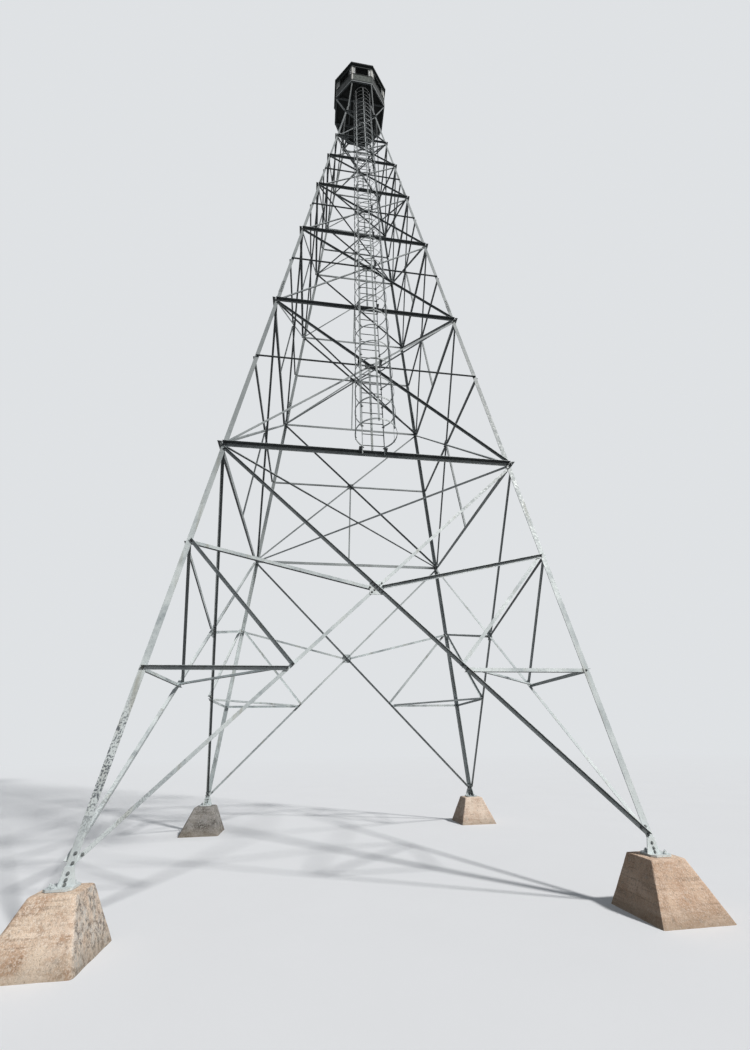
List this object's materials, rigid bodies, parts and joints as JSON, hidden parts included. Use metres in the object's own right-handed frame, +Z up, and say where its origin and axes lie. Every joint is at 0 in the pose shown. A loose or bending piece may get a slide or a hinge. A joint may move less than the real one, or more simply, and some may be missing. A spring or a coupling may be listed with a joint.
{
  "type": "fire lookout tower",
  "caption": "Steel lattice fire lookout tower on concrete piers, with a caged ladder up the front face and an octagonal windowed cab on top.",
  "frame": {"origin": "on the ground in the middle of the four piers, level with their undersides", "axes": "+Z up; the front face, which carries the ladder, looks along -Y; +X to its right"},
  "size_m": [7.72, 7.72, 33.55],
  "materials": {
    "galvanised_steel": "weathered galvanised, dull",
    "concrete": "rough stained concrete",
    "wall_boards": "dark weathered paint",
    "window_frames": "weathered paint",
    "floor_boards": "dark weathered boards",
    "roof_sheet": "dark sheet, weathered",
    "glass": "clear"
  },
  "bodies": {
    "root": {"back_diagonals": "galvanised_steel", "back_girts": "galvanised_steel", "back_gusset_plates": "galvanised_steel", "back_struts": "galvanised_steel", "base_shoes": "galvanised_steel", "cab_floor": "floor_boards", "cab_wall_back": "wall_boards", "cab_wall_back_left": "wall_boards", "cab_wall_back_right": "wall_boards", "cab_wall_front": "wall_boards", "cab_wall_front_left": "wall_boards", "cab_wall_front_right": "wall_boards", "cab_wall_left": "wall_boards", "cab_wall_right": "wall_boards", "cage_hoops": "galvanised_steel", "cage_straps": "galvanised_steel", "cross_beams": "galvanised_steel", "floor_beams": "galvanised_steel", "floor_rim": "galvanised_steel", "front_diagonals": "galvanised_steel", "front_girts": "galvanised_steel", "front_gusset_plates": "galvanised_steel", "front_struts": "galvanised_steel", "hip_ties": "galvanised_steel", "knee_braces": "galvanised_steel", "ladder_brackets": "galvanised_steel", "ladder_rails": "galvanised_steel", "ladder_rungs": "galvanised_steel", "left_diagonals": "galvanised_steel", "left_girts": "galvanised_steel", "left_gusset_plates": "galvanised_steel", "left_struts": "galvanised_steel", "leg_back_left": "galvanised_steel", "leg_back_right": "galvanised_steel", "leg_front_left": "galvanised_steel", "leg_front_right": "galvanised_steel", "pier_back_left": "concrete", "pier_back_right": "concrete", "pier_front_left": "concrete", "pier_front_right": "concrete", "plan_braces_falling": "galvanised_steel", "plan_braces_rising": "galvanised_steel", "right_diagonals": "galvanised_steel", "right_girts": "galvanised_steel", "right_gusset_plates": "galvanised_steel", "right_struts": "galvanised_steel", "roof": "roof_sheet", "roof_cap": "roof_sheet", "window_glass": "glass", "window_mullions": "window_frames"}
  },
  "joints": []
}
